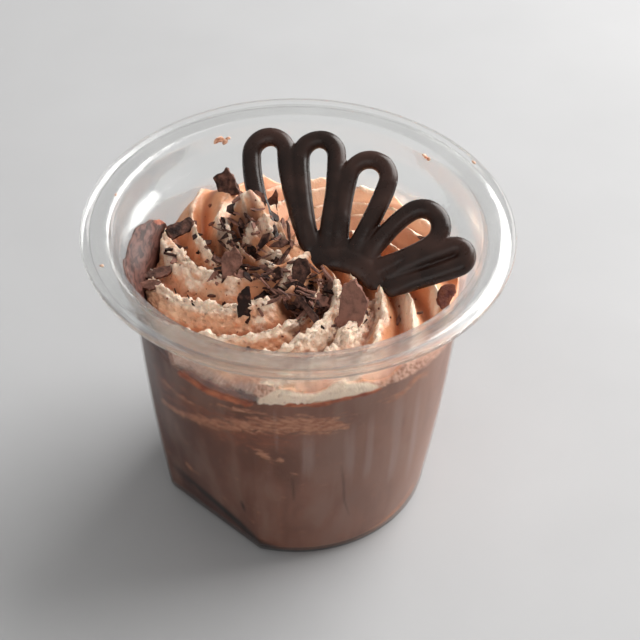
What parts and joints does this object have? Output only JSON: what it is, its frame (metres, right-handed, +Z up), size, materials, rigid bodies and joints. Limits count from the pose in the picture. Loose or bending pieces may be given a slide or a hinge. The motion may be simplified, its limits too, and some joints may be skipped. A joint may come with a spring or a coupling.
{
  "type": "chocolate mousse in a clear pot",
  "caption": "Dark chocolate mousse in a clear flanged pot, topped with a piped cream rosette, chocolate shavings, flakes and a piped chocolate fan.",
  "frame": {"origin": "middle of the pot's foot, on the surface it stands on", "axes": "+Z up, +X to the right and +Y away from someone who faces the fan's front"},
  "size_m": [0.095, 0.095, 0.0825],
  "materials": {
    "clear_plastic": "clear, glossy, thermoformed",
    "dark_mousse": "moist, fine bubbles, faint pale marbling",
    "piped_cream": "soft whipped chocolate cream, porous on its crests",
    "dark_chocolate": "smooth set chocolate with a soft sheen",
    "broken_chocolate": "dull broken chocolate"
  },
  "bodies": {
    "root": {"cup": "clear_plastic", "mousse": "dark_mousse", "cream": "piped_cream", "fan": "dark_chocolate", "flake_plate": "broken_chocolate", "flake_back": "broken_chocolate", "flake_back_left": "broken_chocolate", "flake_left": "broken_chocolate", "flake_front_left": "broken_chocolate", "flake_upright": "broken_chocolate", "flake_middle": "broken_chocolate", "flake_front": "broken_chocolate", "flake_pointed": "broken_chocolate", "flake_sliver": "broken_chocolate", "flake_right": "broken_chocolate"}
  },
  "joints": []
}
